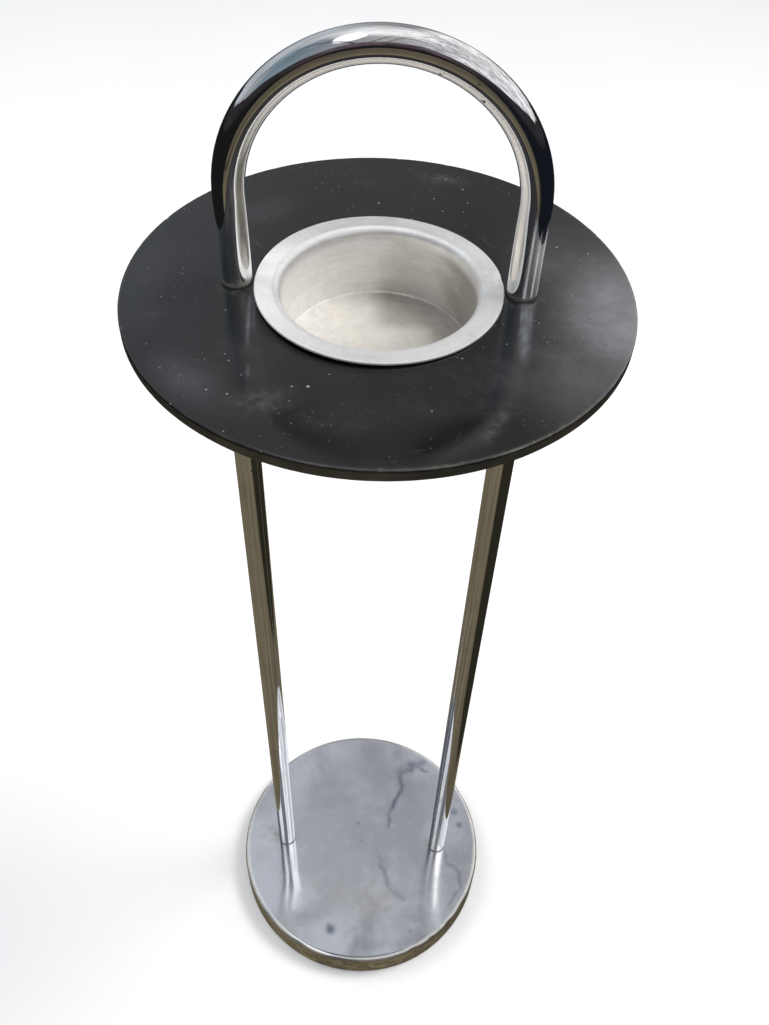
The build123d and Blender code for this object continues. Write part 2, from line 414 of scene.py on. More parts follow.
# ---------------------------------------------------------------- materials
def chrome_tube(name, grime_z, grime_height=0.0045, seed=0.0, pitted=(),
                grime_color=(0.16, 0.14, 0.10), grime_rough=0.5, grime_metal=0.3):
    """Chrome with haze, pits, grime about height grime_z, and masks for dust and painted highlight
    lines.

    pitted lists (place, reach) of areas with larger pits."""
    g = Graph(bpy.data.materials.new(name))
    at = g.shift(g.at, (seed, seed * 0.7, seed * 0.3))
    haze = g.noise(28.0, detail=4, rough=0.55, warp=0.6, at=at)
    fine = g.noise(420.0, detail=3, rough=0.6, at=at)
    # tiny pits in a few cells
    cell = g.cells(300.0, at)[0]
    chance = g.xyz(g.cells(300.0, at)[1])[0]
    zone = g.noise(12.0, detail=2, at=at).ease(0.50, 0.60)
    pit = cell.ease(0.26, 0.16) * chance.ease(0.955, 0.960) * zone
    for place, reach in pitted:
        distance = g.value("VectorMath", g.at, place, output="Value",
                           settings={"operation": "DISTANCE"})
        wander = g.noise(160.0, detail=3, rough=0.6, warp=0.5, at=at) * 0.006
        near = (distance + wander).ease(reach + 0.004, reach * 0.5)
        ragged = cell + g.noise(900.0, detail=2, rough=0.6, at=at) * 0.5
        pit = larger(pit, ragged.ease(0.60, 0.48) * chance.ease(0.62, 0.64) * near)
    # grime with a ragged edge
    height = abs(g.xyz()[2] - grime_z)
    ragged = g.noise(260.0, detail=3, rough=0.6, warp=0.3, at=at) * 0.0022
    grime = (height - ragged).ease(grime_height * 0.55, -0.0002)
    dust = g.mask("dust") * fine.ease(0.35, 0.65, to=(0.55, 1.0))
    lines = g.mask("lines")
    base = g.mix(haze.ease(0.35, 0.7), (0.80, 0.795, 0.785), (0.72, 0.72, 0.73)).coats(
        (pit, (0.05, 0.045, 0.04)),
        (grime * 0.6, grime_color),
        (dust, (0.40, 0.385, 0.31)),
        # painted highlight lines
        (lines, (0.98, 0.98, 0.98)))
    rough = (haze.ease(0.3, 0.8, to=(0.015, 0.075)) + fine.ease(0.55, 0.8, to=(0.0, 0.03)))
    rough = rough.toward(0.6, amount=pit).toward(grime_rough, amount=grime)
    rough = rough.toward(0.55, amount=dust).toward(0.30, amount=lines)
    metal = g.mix_value(grime * 0.5, 1.0, grime_metal)
    metal = metal.toward(0.15, amount=dust).toward(0.0, amount=lines)
    height = fine * 0.05 + pit * -1.0 + grime * (fine * 2.0)
    return g.principled(Base_Color=base, Metallic=metal, Roughness=rough,
                        Normal=g.bump(height, distance=0.00006, strength=0.5))


def polished_foot():
    g = Graph(bpy.data.materials.new("foot_polished_metal"))
    cloud = g.noise(14.0, detail=5, rough=0.55, warp=0.5)
    big = g.noise(6.0, detail=3, warp=0.2)
    fine = g.noise(300.0, detail=3, rough=0.6)
    medium = g.noise(26.0, detail=5, rough=0.55, warp=0.15)
    small = g.noise(110.0, detail=4, rough=0.6, warp=0.1)
    dirt, worn = g.mask("dirt"), g.mask("worn")
    x, y, _ = g.xyz()
    radius = g.radius(x, y) + (big - 0.5) * 0.06
    broken = g.noise(60.0, detail=3, rough=0.6, warp=0.5).ease(0.25, 0.6, to=(0.35, 1.0))
    vein = g.mask("vein") * broken
    base = g.mix(big.ease(0.42, 0.62), (0.405, 0.425, 0.47), (0.425, 0.425, 0.43)).coats(
        (radius.ease(0.060, 0.104), (0.53, 0.555, 0.61)),               # paler outer band
        (cloud.ease(0.42, 0.70), (0.36, 0.37, 0.395)),                  # dark clouds
        (medium.ease(0.46, 0.78, to=(0.0, 0.55)), (0.56, 0.585, 0.64)),   # pale mottling
        (small.ease(0.55, 0.80, to=(0.0, 0.30)), (0.60, 0.61, 0.63)),
        (vein * 0.95, (0.135, 0.155, 0.20)),
        (g.mask("stain") * 0.86, (0.11, 0.135, 0.18)),
        (dirt * 0.62, (0.25, 0.23, 0.185)),
        # painted reflections of the legs: a bright streak, and a painted dark one beside it
        (g.mask("sheen"), (1.0, 1.0, 1.0)),
        (g.mask("shade"), (0.20, 0.215, 0.25)),
        # painted highlight on the turn of the shoulder
        (worn * 0.9, (0.95, 0.91, 0.80)))
    # fine scratches, two crossing families
    along = g.noise(1.0, detail=2, at=g.scale(g.at, (900.0, 60.0, 300.0)))
    across = g.noise(1.0, detail=2, at=g.scale(g.turn(0.9), (1100.0, 45.0, 300.0)))
    scratch = larger(along.ease(0.70, 0.78), across.ease(0.72, 0.80))
    rough = cloud.ease(0.3, 0.75, to=(0.065, 0.16)) + scratch * 0.08
    rough = rough + larger(vein, dirt) * 0.12
    # upright skirt below the shoulder, blotched; darker and duller near the floor
    skirt = g.xyz()[2].ease(FOOT_TOP - 0.0035, FOOT_TOP - 0.0050)
    blotch = g.noise(70.0, detail=4, rough=0.6, warp=0.8).ease(0.42, 0.60)
    wander = g.noise(90.0, detail=3, rough=0.6, warp=0.2) * 0.006
    bottom = (g.xyz()[2] + wander).ease(0.009, 0.003)
    base = base.coats(
        (skirt * 0.8, g.mix(blotch, (0.38, 0.355, 0.28), (0.90, 0.86, 0.74))),
        (bottom * 0.7, (0.12, 0.105, 0.08)))
    rough = rough.toward(cloud.ease(0.3, 0.7, to=(0.06, 0.16)), amount=skirt)
    rough = rough.toward(0.45, amount=bottom).toward(0.34, amount=worn * 0.8)
    height = fine * 0.15 + scratch * -0.2
    return g.principled(Base_Color=base, Metallic=g.mix_value(worn * 0.6, 1.0, 0.45),
                        Roughness=rough, Normal=g.bump(height, distance=0.00003, strength=0.4))


def black_table():
    g = Graph(bpy.data.materials.new("table_black_laminate"))
    z = g.xyz()[2]
    cloud = g.noise(9.0, detail=5, rough=0.6, warp=0.6)
    fine = g.noise(700.0, detail=3, rough=0.6)
    smudge, film, edge, gap = (g.mask(name) for name in ("smudge", "film", "edge", "gap"))

    def specks(scale, chance, size, offset):
        """Dust specks of uneven size in the cells whose random value passes chance."""
        flat = g.scale(g.shift(g.at, (offset, offset * 1.7, 0)), (1, 1, 0.0))
        wobble = g.scale(g.noise(300.0, detail=2, output=1), (0.0012, 0.0012, 0))
        distance, color = g.cells(scale, g.shift(flat, wobble))
        pick, spread, _ = g.xyz(color)
        reach = spread.ease(0.0, 1.0, to=(size * 0.4, size))
        return g.math("LESS_THAN", distance, reach) * pick.ease(chance, chance + 0.004)

    def scratches(angle, across, along, threshold, offset):
        """Straight hair scratches; across and along are the noise's two scales."""
        at = g.scale(g.shift(g.turn(angle), (offset, offset, 0)), (across, along, 0))
        return g.noise(1.0, detail=1, rough=0.4, at=at).ease(threshold, threshold + 0.03)

    speck = larger(specks(140.0, chance=0.945, size=0.10, offset=0.0),
                   specks(420.0, chance=0.965, size=0.22, offset=0.31))
    speck = larger(speck, specks(800.0, chance=0.955, size=0.26, offset=0.57) * 0.6)
    speck = speck * g.noise(26.0, detail=3, rough=0.6).ease(0.36, 0.58, to=(0.12, 1.0))
    # short curled hairlines
    level = abs(g.noise(34.0, detail=1, rough=0.4, warp=0.2) - 0.5)
    here = g.noise(62.0, detail=1, at=g.shift(g.at, (0.7, 0.2, 0))).ease(0.60, 0.66)
    curl = level.ease(0.0045, 0.0015) * here
    scratch = larger(
        scratches(0.35, across=1500.0, along=24.0, threshold=0.80, offset=0.1),
        scratches(1.25, across=1300.0, along=30.0, threshold=0.81, offset=0.4))
    scratch = larger(
        scratch, scratches(2.45, across=1400.0, along=26.0, threshold=0.81, offset=0.9))
    scratch = larger(scratch, curl * 0.45)
    top = z.ease(TABLE_TOP - 0.0022, TABLE_TOP - 0.0012)
    side = z.ease(TABLE_TOP - 0.0010, TABLE_TOP - 0.0022)
    speck = speck * top
    scratch = scratch * top
    uneven = g.noise(60.0, detail=6, rough=0.7, warp=0.1).ease(0.25, 0.75, to=(0.75, 1.22))
    mottle = g.noise(190.0, detail=4, rough=0.7, warp=0.1).ease(0.36, 0.64, to=(0.25, 1.25))
    # painted brown reflection of the warm ground, for the edge band
    core = g.mix(g.noise(60.0, detail=4, rough=0.6, warp=0.3).ease(0.3, 0.7),
                 (0.020, 0.018, 0.012), (0.040, 0.035, 0.022))
    black = g.mix(cloud.ease(0.35, 0.7), (0.0030, 0.0030, 0.0032), (0.0062, 0.0063, 0.0066))
    base = black.coats(
        (film * uneven, (0.62, 0.63, 0.66)),
        (smudge * mottle * 0.075, (0.44, 0.45, 0.47)),
        # painted reflections of the hoop's uprights
        (g.mask("streak") * 0.26, (0.52, 0.56, 0.64)),
        (scratch * 0.075, (0.35, 0.35, 0.35)),
        (speck * 0.44, (0.50, 0.50, 0.48)),
        # chips, grime rings and a painted highlight line along the edge
        (edge * 0.6, (0.26, 0.25, 0.21)),
        (side * 0.9, core),                         # black edge band with a painted brown reflection of the warm ground
        # painted shadow under the bowl's rim and round the hoop feet
        (gap, (0.0010, 0.0010, 0.0010)))
    rough = cloud.ease(0.3, 0.7, to=(0.10, 0.19)) + smudge * 0.14 + film * 0.5
    rough = rough.toward(0.7, amount=larger(speck, edge)).toward(0.34, amount=side)
    height = fine * 0.6 + (speck * 1.5 + scratch * -1.5)
    return g.principled(Base_Color=base, Metallic=0.0, Roughness=rough, IOR=1.48,
                        Specular_IOR_Level=g.mix_value(gap, 0.60, 0.08),
                        Normal=g.bump(height, distance=0.00005, strength=0.6))


def spun_aluminium():
    g = Graph(bpy.data.materials.new("spun_aluminium"))
    x, y, z = g.xyz()
    radius = g.radius(x, y)
    angle = g.math("ARCTAN2", y, x)

    def turning(scale, around, rough):
        """Turning marks: quick along radius and height, slow around the axis."""
        at = g.combine(radius * scale, z * scale, angle * around)
        return g.noise(1.0, detail=3, rough=rough, at=at)

    rings = turning(2600.0, around=0.55, rough=0.65)
    broad = turning(700.0, around=1.3, rough=0.6)
    cloud = g.noise(55.0, detail=5, rough=0.62, warp=0.5)
    blot = g.noise(150.0, detail=4, rough=0.6, warp=0.3)
    rim_bright = g.mask("rim_up")
    inside = z.ease(RIM_Z - 0.003, RIM_Z - 0.010)
    lit = g.mix(broad.ease(0.30, 0.70), (0.97, 0.957, 0.94), (0.865, 0.845, 0.815)).coats(
        (cloud.ease(0.45, 0.72) * 0.45, (0.81, 0.79, 0.76)))
    patina = g.mask("patina") * cloud.ease(0.30, 0.62, to=(0.35, 1.0))
    base = g.mix(rings.ease(0.3, 0.7), (0.76, 0.755, 0.745), (0.86, 0.855, 0.845)).coats(
        (broad.ease(0.35, 0.7) * 0.28, (0.66, 0.65, 0.63)),
        (cloud.ease(0.45, 0.7) * 0.28, (0.55, 0.54, 0.52)),
        (blot.ease(0.52, 0.72, to=(0.0, 0.5)), (0.95, 0.95, 0.94)),
        (inside * 0.88, lit),
        (patina * 0.7, (0.93, 0.87, 0.75)))
    # painted light and shade: the tone mask darkens parts of the bowl's inside
    tones = [(0.0, (0.0, 0.0, 0.0)), (0.5, (0.50, 0.485, 0.455)), (1.0, (1.0, 1.0, 1.0))]
    base = g.mix(inside, base, g.ramp(g.mask("tone"), tones), blend="MULTIPLY")
    # grain, strongest on the bowl's floor
    deep = z.ease(BOWL_UNDER + 0.004, BOWL_UNDER + 0.0025, to=(0.35, 1.0))
    grit = g.noise(230.0, detail=5, rough=0.7, warp=0.2).ease(0.40, 0.66, to=(0.0, 0.32))
    ash = g.mask("ash") * blot.ease(0.35, 0.7, to=(0.25, 1.0))
    pick = g.xyz(g.cells(380.0)[1])[0].ease(0.965, 0.97)
    spot = g.cells(380.0)[0].ease(0.22, 0.12) * pick
    smear = g.noise(38.0, detail=5, rough=0.65, warp=0.9).ease(0.44, 0.70, to=(0.0, 0.42))
    base = base.coats(
        (inside * deep * grit, (0.50, 0.48, 0.44)),
        (ash * 0.7, (0.20, 0.195, 0.19)),
        # painted highlight in the floor's corner
        (g.mask("bright") * 0.85, (0.97, 0.94, 0.84)),
        (spot * 0.45, (0.22, 0.20, 0.18)),
        # painted highlight on the left of the flat rim
        (rim_bright, (0.97, 0.97, 0.965)),
        ((1.0 - inside) * smear, (0.60, 0.575, 0.53)),
        # painted shade at the back of the flat rim
        (g.mask("rim_dn") * cloud.ease(0.30, 0.70, to=(0.75, 1.1)), (0.45, 0.45, 0.45)))
    rough = rings.ease(0.3, 0.75, to=(0.36, 0.46)) + cloud.ease(0.4, 0.7) * 0.08
    rough = rough + larger(patina, ash) * 0.15
    metal = g.mix_value(inside, 0.66, 0.32) - larger(patina, ash) * 0.20
    tangent = g.value("Tangent", settings={"direction_type": "RADIAL", "axis": "Z"})
    height = rings * 1.0 + spot * -1.0
    return g.principled(Base_Color=base, Metallic=metal.toward(0.35, amount=rim_bright),
                        Roughness=rough, Anisotropic=0.4, Tangent=tangent,
                        Normal=g.bump(height, distance=0.00004, strength=0.3))


def plain(name, dark, pale, rough, scale, turned=False, bump=0.00008, metal=1.0, specular=0.5):
    """Workshop material for hardware; turned adds fine marks around Z."""
    g = Graph(bpy.data.materials.new(name))
    cloud = g.noise(scale, detail=5, rough=0.6, warp=0.3)
    if turned:
        fine = g.noise(1.0, detail=2, rough=0.6, at=g.scale(g.at, (90.0, 90.0, 2600.0)))
    else:
        fine = g.noise(scale * 9, detail=3, rough=0.6)
    edge = g.value("NewGeometry", output="Pointiness")
    base = g.mix(cloud.ease(0.3, 0.72), dark, pale).coats(
        (fine.ease(0.5, 0.75, to=(0.0, 0.35)), tuple(0.6 * c for c in dark)),
        (edge.ease(0.51, 0.58, to=(0.0, 0.5)), tuple(min(1, 1.5 * c + 0.05) for c in pale)))
    return g.principled(
        Base_Color=base, Metallic=metal, Roughness=cloud.ease(0.25, 0.75, to=rough),
        Normal=g.bump(cloud + fine, distance=bump, strength=0.6), Specular_IOR_Level=specular)


CHROME_HOOP = chrome_tube(
    "chrome_hoop", HOOP_BOTTOM, grime_height=0.0028,
    pitted=[((0.026, -0.005, ARCH_Z + 0.0605), 0.010), ((0.040, -0.005, ARCH_Z + 0.0525), 0.011)],
    grime_color=(0.055, 0.052, 0.042), grime_rough=0.30, grime_metal=0.6)
CHROME_LEFT = chrome_tube("chrome_leg_left", LEG_BOTTOM, seed=1.3)
CHROME_RIGHT = chrome_tube("chrome_leg_right", LEG_BOTTOM, seed=2.9)
FOOT_METAL = polished_foot()
TABLE_BLACK = black_table()
ALUMINIUM = spun_aluminium()
CAST_IRON = plain("cast_iron_sand_finish", dark=(0.055, 0.05, 0.046), pale=(0.12, 0.10, 0.085),
                  rough=(0.55, 0.8), scale=90.0, bump=0.0004, metal=0.75)
ZINC = plain("zinc_plated_steel", dark=(0.50, 0.50, 0.48), pale=(0.66, 0.66, 0.62),
             rough=(0.22, 0.42), scale=140.0, turned=True)
TURNED = plain("turned_steel", dark=(0.36, 0.36, 0.36), pale=(0.52, 0.52, 0.52),
               rough=(0.25, 0.42), scale=120.0, turned=True)
PLATE = plain("plain_steel_plate", dark=(0.20, 0.20, 0.21), pale=(0.38, 0.37, 0.36),
              rough=(0.30, 0.52), scale=60.0)
RUBBER = plain("rubber_pad", dark=(0.018, 0.018, 0.018), pale=(0.045, 0.043, 0.04),
               rough=(0.62, 0.85), scale=120.0, bump=0.0003, metal=0.0, specular=0.35)
FIBRE = plain("fibre_washer", dark=(0.012, 0.012, 0.010), pale=(0.042, 0.040, 0.034),
              rough=(0.6, 0.85), scale=90.0, bump=0.0002, metal=0.0, specular=0.3)

CAD_FINISHES = {
    "base_weight": CAST_IRON, "base_pad": RUBBER,
    "base_bolts": ZINC, "base_bolt_washers": ZINC,
    "leg_bottom_plug_left": TURNED, "leg_bottom_plug_right": TURNED,
    "leg_top_plug_left": TURNED, "leg_top_plug_right": TURNED,
    "leg_flange_left": PLATE, "leg_flange_right": PLATE,
    "leg_flange_screws": ZINC, "leg_top_screws": ZINC,
    "hoop_plug_left": TURNED, "hoop_plug_right": TURNED,
    "hoop_foot_washers": FIBRE, "hoop_screws": ZINC,
    "table_top": TABLE_BLACK, "handle_hoop": CHROME_HOOP,
    "leg_left": CHROME_LEFT, "leg_right": CHROME_RIGHT,
    "base_cover": FOOT_METAL, "ash_bowl": ALUMINIUM,
}
for piece, finish in CAD_FINISHES.items():
    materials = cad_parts[piece].data.materials
    materials.clear()
    materials.append(finish)


# ---------------------------------------------------------------- carry hoop
# painted highlight lines on the right upright: bearing and width (degrees), strength, height (m)
HOOP_LINES = [(-87, 3.6, 1.0, 0.052), (-60, 3.8, 1.0, 0.042),
              (-31, 4.2, 0.95, 0.046), (-45, 4.0, 0.18, 0.040)]


def build_hoop():
    arc_steps, upright_steps = 260, 60
    heights = np.linspace(HOOP_BOTTOM, ARCH_Z, upright_steps + 1)[:-1]
    angles = np.linspace(math.pi, 0, arc_steps + 1)
    centre = np.array(
        [(-HOOP_R, 0, z) for z in heights]
        + [(HOOP_R * math.cos(a), 0, ARCH_Z + HOOP_R * math.sin(a)) for a in angles]
        + [(HOOP_R, 0, z) for z in heights[::-1]])
    tangent = np.array([(0, 0, 1)] * upright_steps
                       + [(math.sin(a), 0, -math.cos(a)) for a in angles]
                       + [(0, 0, -1)] * upright_steps, float)
    bend = np.zeros(len(centre))
    bend[upright_steps:upright_steps + arc_steps + 1] = np.minimum(1, np.sin(angles) * 2.2)

    def section(i, angle):
        """The bend flattens the tube a little in the hoop's plane and leaves faint ripples."""
        flattened = 1.0 - 0.012 * bend[i] * np.cos(angle) ** 2
        one_side = np.clip(np.cos(angle), 0, 1) ** 3
        return (flattened + 0.0004 * bend[i] * one_side * math.sin(i * 0.40)
                + 0.0006 * math.sin(i * 0.11) * bend[i])

    verts, faces = tube(centre, tangent, sides=120, edge=0.2 * MM, section=section)
    uneven = noise(verts, 0.05, seed=3, octaves=2) * 0.00003
    verts = verts + uneven[:, None] * np.array([0.3, 1.0, 0.2])
    up = verts[:, 2] - HOOP_BOTTOM

    # painted highlight lines
    around = bearing(verts, HOOP_R)
    lines = np.zeros(len(verts))
    for angle, width, strength, height in HOOP_LINES:
        fade = ease(verts[:, 2], HOOP_BOTTOM + height, HOOP_BOTTOM + height * 0.6)
        lines = np.maximum(lines, strength * bell(around - angle, width) * fade)
    lines *= verts[:, 0] > HOOP_R - TUBE_R * 1.2
    lines *= ease(verts[:, 2], HOOP_BOTTOM + 0.0005, HOOP_BOTTOM + 0.003)
    lines *= 0.9 + 0.25 * noise(verts * [1, 1, 0.3], 0.02, seed=5, octaves=3)

    # dust at the front of the left upright's foot: a patch, and a thin ring low down
    around = bearing(verts, -HOOP_R)
    ragged = up + 1.2 * MM * noise(verts, 0.004, seed=7, octaves=3)
    dust = 0.95 * bell(around + 36, 34) * ease(ragged, 6.5 * MM, 1.5 * MM)
    dust = np.maximum(dust, 0.45 * bell(around + 88, 42) * bell(up - 0.9 * MM, 0.55 * MM))
    dust *= verts[:, 0] < 0
    dust *= np.clip(0.8 + 0.5 * noise(verts, 0.006, seed=11, octaves=3), 0, 1)
    make_piece("carry_hoop_tube", verts, faces, CHROME_HOOP, "stand", "chrome_tube",
               "handle_hoop", lines=lines, dust=dust)


build_hoop()


# ---------------------------------------------------------------- legs
def build_leg(side, name, material, seed):
    """side is -1 for left and 1 for right."""
    margin = 0.6 * MM
    middle = np.linspace(LEG_BOTTOM + margin, LEG_TOP - margin, 150)
    heights = np.concatenate([[LEG_BOTTOM], middle, [LEG_TOP]])
    centre = np.stack([np.full_like(heights, side * LEG_X), np.zeros_like(heights), heights], 1)
    tangent = np.tile((0, 0, 1.0), (len(heights), 1))
    verts, faces = tube(centre, tangent, sides=80, edge=0.15 * MM)
    uneven = noise(verts, 0.12, seed=seed, octaves=2) * 0.00002
    verts = verts + uneven[:, None] * np.array([1.0, 0.6, 0])
    make_piece("leg_tube_" + name, verts, faces, material, "stand", "chrome_tube", "leg_" + name)


build_leg(-1, "left", CHROME_LEFT, seed=5)
build_leg(1, "right", CHROME_RIGHT, seed=9)


# ---------------------------------------------------------------- foot cover
# knocks on the shoulder: bearing (degrees), width and depth (mm)
FOOT_KNOCKS = [(-62, 5, 0.8), (-118, 7, 0.6), (-41, 4, 0.75), (-52, 3, 0.5),
               (-97, 3, 0.4), (-30, 6, 0.5), (30, 6, 0.5), (150, 5, 0.5)]
# veins on the top: strength, width at start and end (mm), seed, course as (x, y) in mm
FOOT_VEINS = [
    (1.0, 3.8, 1.7, 41, [(62, 90), (50.8, 86.9), (49, 81.7), (37.8, 79.1), (37.1, 71),
                         (40.2, 61.2), (35.8, 51.1), (29.9, 37.3), (27.5, 27.6), (27, 16.3)]),
    (1.0, 3.0, 1.2, 43, [(50.8, 86.9), (66, 80.5)]),
    (0.5, 2.2, 3.2, 45, [(18.5, -15.3), (21.5, -25.8), (26.3, -37.8), (31, -47.9),
                         (39.8, -54.3), (45, -57.4)]),
    (0.6, 1.7, 1.6, 47, [(84.3, -4.7), (88.7, -20.6), (96.5, -23.8), (100.8, -30.6),
                         (99.8, -42.8), (92.8, -55.1), (89.3, -61.2)]),
]
# round stains and dirt patches: x, y, radius (mm), strength
FOOT_STAINS = [
    (-25.5, -89.9, 4.7, 1.0), (-27.5, -86.5, 2.6, 0.7), (100.6, 22.0, 3.2, 0.8),
    (95.3, 35.9, 4.0, 0.7), (-4.5, 18.4, 1.6, 0.7), (0.1, 0.1, 1.4, 0.45),
    (49, 88, 5.0, 0.55), (52, -88, 1.6, 0.5)]
FOOT_DIRT = [
    (67.0, 1.0, 5.0, 1.0), (-87.0, 1.0, 6.5, 0.95), (-96, 6, 10, 0.5), (-100, -20, 9.0, 0.3),
    (21.4, -65.3, 13.0, 0.34), (59.7, -14, 12.0, 0.34), (5, -40, 16, 0.2)]
# painted reflection of each leg, a bright streak in front of it: side, x offset, width at the leg
# and further out, y of the far end (mm), strength
FOOT_SHEEN = [(-1, 3.4, 2.4, 0.9, -78, 0.45), (1, 2.0, 3.4, 2.2, -66, 0.75)]
SHEEN_START_Y = -7                          # mm


def foot_profile():
    shoulder = 3.7 * MM
    sheet = 1.0 * MM
    bevel = 0.3 * MM
    inner_r = FOOT_R - sheet
    return outline(
        line((0, FOOT_TOP), (FOOT_R - shoulder, FOOT_TOP), 96),
        arc((FOOT_R - shoulder, FOOT_TOP - shoulder), shoulder, 90, 0, 12),
        line((FOOT_R, FOOT_TOP - shoulder), (FOOT_R, FOOT_LIP + bevel), 14),
        line((FOOT_R, FOOT_LIP + bevel), (FOOT_R - bevel, FOOT_LIP), 1),
        line((FOOT_R - bevel, FOOT_LIP), (inner_r + 0.2 * MM, FOOT_LIP), 1),
        line((inner_r + 0.2 * MM, FOOT_LIP), (inner_r, FOOT_LIP + bevel), 1),
        line((inner_r, FOOT_LIP + bevel), (inner_r, FOOT_TOP - shoulder), 6),
        arc((inner_r - (shoulder - sheet), FOOT_TOP - shoulder), shoulder - sheet, 0, 90, 6),
        line((inner_r - (shoulder - sheet), FOOT_TOP - sheet), (0, FOOT_TOP - sheet), 30))


def vein_mask(plan, course, start_width, end_width, seed):
    """Soft wandering line along course, over points plan (n, 2)."""
    course = np.array(course, float) * MM
    flat = np.column_stack([plan, np.zeros(len(plan))])
    wander = [noise(flat, 0.012, seed=s, octaves=3) for s in (seed, seed + 1)]
    points = plan + np.stack(wander, 1) * 1.3 * MM
    steps = np.diff(course, axis=0)
    travelled = np.cumsum([0] + [np.hypot(*step) for step in steps])
    nearest = np.full(len(plan), 1e9)
    width = np.full(len(plan), start_width)
    for i, step in enumerate(steps):
        t = np.clip(((points - course[i]) @ step) / (step @ step), 0, 1)
        distance = np.hypot(*(points - course[i] - t[:, None] * step).T)
        share = (travelled[i] + t * (travelled[i + 1] - travelled[i])) / travelled[-1]
        better = distance < nearest
        nearest = np.where(better, distance, nearest)
        width = np.where(better, start_width + (end_width - start_width) * share, width)
    return bell(nearest, width * MM)


def build_foot():
    verts, faces = lathe(foot_profile(), 600)
    radius = np.hypot(verts[:, 0], verts[:, 1])
    shoulder = 3.7 * MM
    top = ease(verts[:, 2], FOOT_TOP - shoulder, FOOT_TOP - 0.2 * MM)
    # the sheet is not quite flat, nor its skirt quite round
    flat = ease(radius, FOOT_R - 2 * shoulder, FOOT_R - 5 * shoulder)
    wave = noise(verts * [1, 1, 0.2], 0.085, seed=21, octaves=3)
    verts[:, 2] += top * flat * wave * 0.00006
    wave = noise(verts, 0.07, seed=33, octaves=3) * 0.0009
    verts[:, :2] *= (1 + (1 - top) * wave * ease(radius, FOOT_R - 6 * MM, FOOT_R))[:, None]
    for angle, width, depth in FOOT_KNOCKS:
        angle = math.radians(angle)
        distance = plan_distance(verts, FOOT_R * math.cos(angle), FOOT_R * math.sin(angle))
        knock = bell(distance, width * MM)
        knock *= ease(verts[:, 2], FOOT_TOP - 14 * MM, FOOT_TOP - 3 * MM)
        verts[:, :2] *= (1 - knock * depth * MM / FOOT_R)[:, None]

    vein, stain, dirt, sheen, shade = np.zeros((5, len(verts)))
    for strength, start_width, end_width, seed, course in FOOT_VEINS:
        mask = vein_mask(verts[:, :2], course, start_width, end_width, seed)
        vein = np.maximum(vein, strength * mask)
    for x, y, size, strength in FOOT_STAINS:
        distance = plan_distance(verts, x * MM, y * MM)
        stain = np.maximum(stain, strength * np.exp(-(distance / (size * MM)) ** 2.6))
    for side in (-1, 1):                    # ring round each leg
        distance = np.clip(plan_distance(verts, side * LEG_X, 0) - TUBE_R, 0, 1)
        width = np.maximum(0.4, 1.2 + 0.5 * noise(verts, 0.006, seed=51 + side, octaves=2))
        dirt = np.maximum(dirt, 0.40 * np.exp(-distance / (width * MM)))
    uneven = 0.75 + 0.5 * noise(verts, 0.01, seed=61, octaves=2)
    for x, y, size, strength in FOOT_DIRT:
        patch = bell(plan_distance(verts, x * MM, y * MM), size * MM)
        dirt = np.maximum(dirt, strength * patch * uneven)

    # painted highlight: lighter metal on the turn of the shoulder
    around = np.radians(bearing(verts) - 15)
    worn = bell(radius - (FOOT_R - 1.7 * MM), 1.6 * MM)
    worn *= ease(verts[:, 2], FOOT_TOP - 3.4 * MM, FOOT_TOP - 1.4 * MM)
    worn *= 0.45 + 0.35 * np.cos(around) ** 2 + 0.25 * noise(verts, 0.03, seed=67, octaves=3)
    # the sheet rises very slightly towards its shoulder
    rise = 0.75 * MM * np.clip((radius - 80 * MM) / (38 * MM), 0, 1) ** 2
    verts[:, 2] += rise * np.clip((verts[:, 2] - FOOT_LIP) / (FOOT_TOP - FOOT_LIP), 0, 1)

    # a painted reflection in front of each leg: a bright streak, with a painted dark streak to its
    # left
    x, y = verts[:, 0], verts[:, 1]
    start_y = SHEEN_START_Y
    for side, offset, start_width, end_width, end_y, strength in FOOT_SHEEN:
        streak_x = side * LEG_X + offset * MM + (y - start_y * MM) * (0.058 * side)
        t = np.clip((y - start_y * MM) / ((end_y - start_y) * MM), 0, 1)
        within = ease(y, (end_y - 6) * MM, (end_y + 8) * MM)
        within *= ease(y, (start_y + 2) * MM, (start_y - 2) * MM)
        width = (start_width + (end_width - start_width) * ease(t, 0.15, 0.5)) * MM
        streak = strength * (1 - 0.6 * t) * within * bell(x - streak_x, width)
        sheen = np.maximum(sheen, streak)
        streak = 0.34 * (1 - 0.7 * t) * within * bell(x - streak_x + 6.0 * MM, 2.8 * MM)
        shade = np.maximum(shade, streak)
    uneven = top * (0.9 + 0.25 * noise(verts, 0.012, seed=69, octaves=3))
    make_piece("foot_cover_pressed", verts, faces, FOOT_METAL, "stand", "chrome_foot",
               "base_cover", vein=vein * top, stain=stain * top, dirt=dirt * top, worn=worn,
               sheen=sheen * uneven, shade=shade * uneven)


build_foot()

